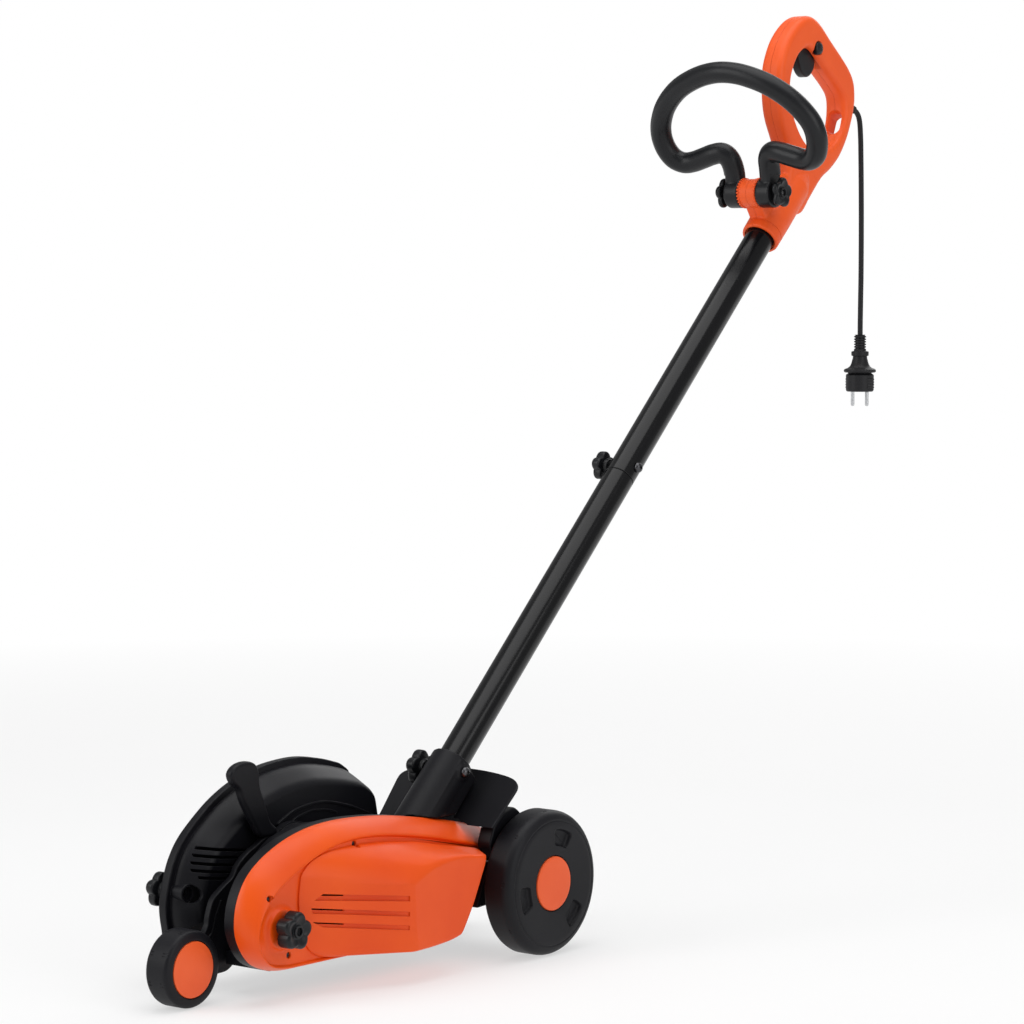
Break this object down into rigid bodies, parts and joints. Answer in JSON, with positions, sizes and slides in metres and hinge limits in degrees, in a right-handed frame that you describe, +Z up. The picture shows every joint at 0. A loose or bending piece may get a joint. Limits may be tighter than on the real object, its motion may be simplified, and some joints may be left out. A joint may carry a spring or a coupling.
{
  "type": "lawn edger",
  "caption": "Electric walk-behind lawn edger with a guarded side blade, orange motor cover, wheels, straight shaft, closed grip handle and adjustable loop handle.",
  "frame": {"origin": "on the ground, under the middle of the bounding box", "axes": "+Z up, -Y is the direction of travel, +X is the motor side, the operator's left"},
  "size_m": [0.255, 1.305, 1.0811],
  "materials": {
    "orange_plastic": "satin moulded",
    "orange_grip": "fine texture moulded",
    "black_plastic": "fine spark texture",
    "loop_plastic": "satin moulded tube",
    "tube_paint": "gloss black powder coat",
    "wheel_plastic": "moulded, light texture",
    "steel": "ground",
    "zinc_steel": "zinc plated",
    "blade_steel": "ground and oiled",
    "copper": "enamelled winding",
    "nylon": "natural nylon",
    "cast_alloy": "as cast",
    "cord_rubber": "satin rubber"
  },
  "bodies": {
    "chassis": {"chassis_base": "black_plastic", "motor_cover": "orange_plastic", "cover_screw_1": "zinc_steel", "cover_screw_2": "zinc_steel", "cover_screw_3": "zinc_steel", "blade_guard": "black_plastic", "guard_side_plate": "black_plastic", "debris_flap": "black_plastic", "shaft_socket": "black_plastic", "rear_axle": "zinc_steel", "spindle_bearing_outer": "steel", "spindle_bearing_inner": "steel", "gear_plate": "cast_alloy", "motor_bearing_front": "steel", "motor_bearing_rear": "steel", "motor_stator": "copper", "socket_bolt": "zinc_steel", "lower_tube": "tube_paint", "upper_tube": "tube_paint", "shaft_bolt": "zinc_steel", "cover_knob_bolt": "zinc_steel", "guard_bolt": "zinc_steel", "handle_left_shell": "orange_grip", "handle_right_shell": "orange_grip", "switch_module": "black_plastic", "trigger_spring": "zinc_steel", "strain_relief": "cord_rubber", "power_cord": "cord_rubber", "plug_body": "cord_rubber", "plug_pin_1": "zinc_steel", "plug_pin_2": "zinc_steel", "loop_bolt": "zinc_steel"},
    "blade": {"edger_blade": "blade_steel", "blade_spindle": "steel", "driven_gear": "nylon", "blade_flange_inner": "zinc_steel", "blade_flange_outer": "zinc_steel", "blade_nut": "zinc_steel"},
    "motor_rotor": {"armature": "steel", "commutator": "copper", "motor_fan": "nylon", "drive_pinion": "steel"},
    "depth_frame": {"depth_arm": "black_plastic", "depth_lever": "black_plastic", "front_axle": "zinc_steel"},
    "front_wheel_body": {"front_wheel": "wheel_plastic", "front_hub_cap": "orange_plastic"},
    "rear_wheel_left_body": {"rear_wheel_left": "wheel_plastic", "hub_cap_left": "orange_plastic"},
    "rear_wheel_right_body": {"rear_wheel_right": "wheel_plastic", "hub_cap_right": "orange_plastic"},
    "loop": {"loop_handle": "loop_plastic"},
    "loop_knob_left_body": {"loop_knob_left": "black_plastic"},
    "loop_knob_right_body": {"loop_knob_right": "black_plastic"},
    "socket_knob_body": {"socket_knob": "black_plastic"},
    "shaft_knob_body": {"shaft_knob": "black_plastic"},
    "cover_knob_body": {"cover_knob": "black_plastic"},
    "guard_knob_body": {"guard_knob": "black_plastic"},
    "trigger_body": {"trigger": "black_plastic"},
    "lock_button_body": {"lock_button": "black_plastic"}
  },
  "joints": [
    {"name": "blade_spin", "type": "hinge", "parent": "chassis", "child": "blade", "pos_m": [0, -0.41835, 0.122], "axis": [1, 0, 0], "continuous": true},
    {"name": "motor_spin", "type": "hinge", "parent": "chassis", "child": "motor_rotor", "pos_m": [0, -0.37735, 0.092], "axis": [1, 0, 0], "continuous": true},
    {"name": "rear_left_roll", "type": "hinge", "parent": "chassis", "child": "rear_wheel_left_body", "pos_m": [0, -0.16335, 0.081], "axis": [1, 0, 0], "continuous": true},
    {"name": "rear_right_roll", "type": "hinge", "parent": "chassis", "child": "rear_wheel_right_body", "pos_m": [0, -0.16335, 0.081], "axis": [1, 0, 0], "continuous": true},
    {"name": "depth_adjust", "type": "hinge", "parent": "chassis", "child": "depth_frame", "pos_m": [0, -0.41835, 0.122], "axis": [-1, 0, 0], "range_deg": [0, 30]},
    {"name": "front_roll", "type": "hinge", "parent": "depth_frame", "child": "front_wheel_body", "pos_m": [0, -0.61185, 0.0406], "axis": [1, 0, 0], "continuous": true},
    {"name": "loop_tilt", "type": "hinge", "parent": "chassis", "child": "loop", "pos_m": [0, 0.38365, 0.857], "axis": [1, 0, 0], "range_deg": [-12, 70]},
    {"name": "loop_knob_left_turn", "type": "hinge", "parent": "loop", "child": "loop_knob_left_body", "pos_m": [0, 0.38365, 0.857], "axis": [1, 0, 0], "continuous": true},
    {"name": "loop_knob_right_turn", "type": "hinge", "parent": "loop", "child": "loop_knob_right_body", "pos_m": [0, 0.38365, 0.857], "axis": [1, 0, 0], "continuous": true},
    {"name": "socket_knob_turn", "type": "hinge", "parent": "chassis", "child": "socket_knob_body", "pos_m": [0, -0.21735, 0.204], "axis": [1, 0, 0], "continuous": true},
    {"name": "shaft_knob_turn", "type": "hinge", "parent": "chassis", "child": "shaft_knob_body", "pos_m": [0, 0.11721, 0.52829], "axis": [1, 0, 0], "continuous": true},
    {"name": "cover_knob_turn", "type": "hinge", "parent": "chassis", "child": "cover_knob_body", "pos_m": [0, -0.54335, 0.08], "axis": [1, 0, 0], "continuous": true},
    {"name": "guard_knob_turn", "type": "hinge", "parent": "chassis", "child": "guard_knob_body", "pos_m": [0, -0.55535, 0.105], "axis": [1, 0, 0], "continuous": true},
    {"name": "trigger_pull", "type": "hinge", "parent": "chassis", "child": "trigger_body", "pos_m": [0, 0.47465, 1.046], "axis": [1, 0, 0], "range_deg": [0, 6], "stiffness_Nm_per_rad": 0.4},
    {"name": "lock_button_push", "type": "slide", "parent": "chassis", "child": "lock_button_body", "axis": [-1, 0, 0], "range_m": [0, 0.003], "stiffness_N_per_m": 300}
  ],
  "couplings": [
    {"joint": "motor_spin", "follows": "blade_spin", "ratio": -2.8333}
  ]
}
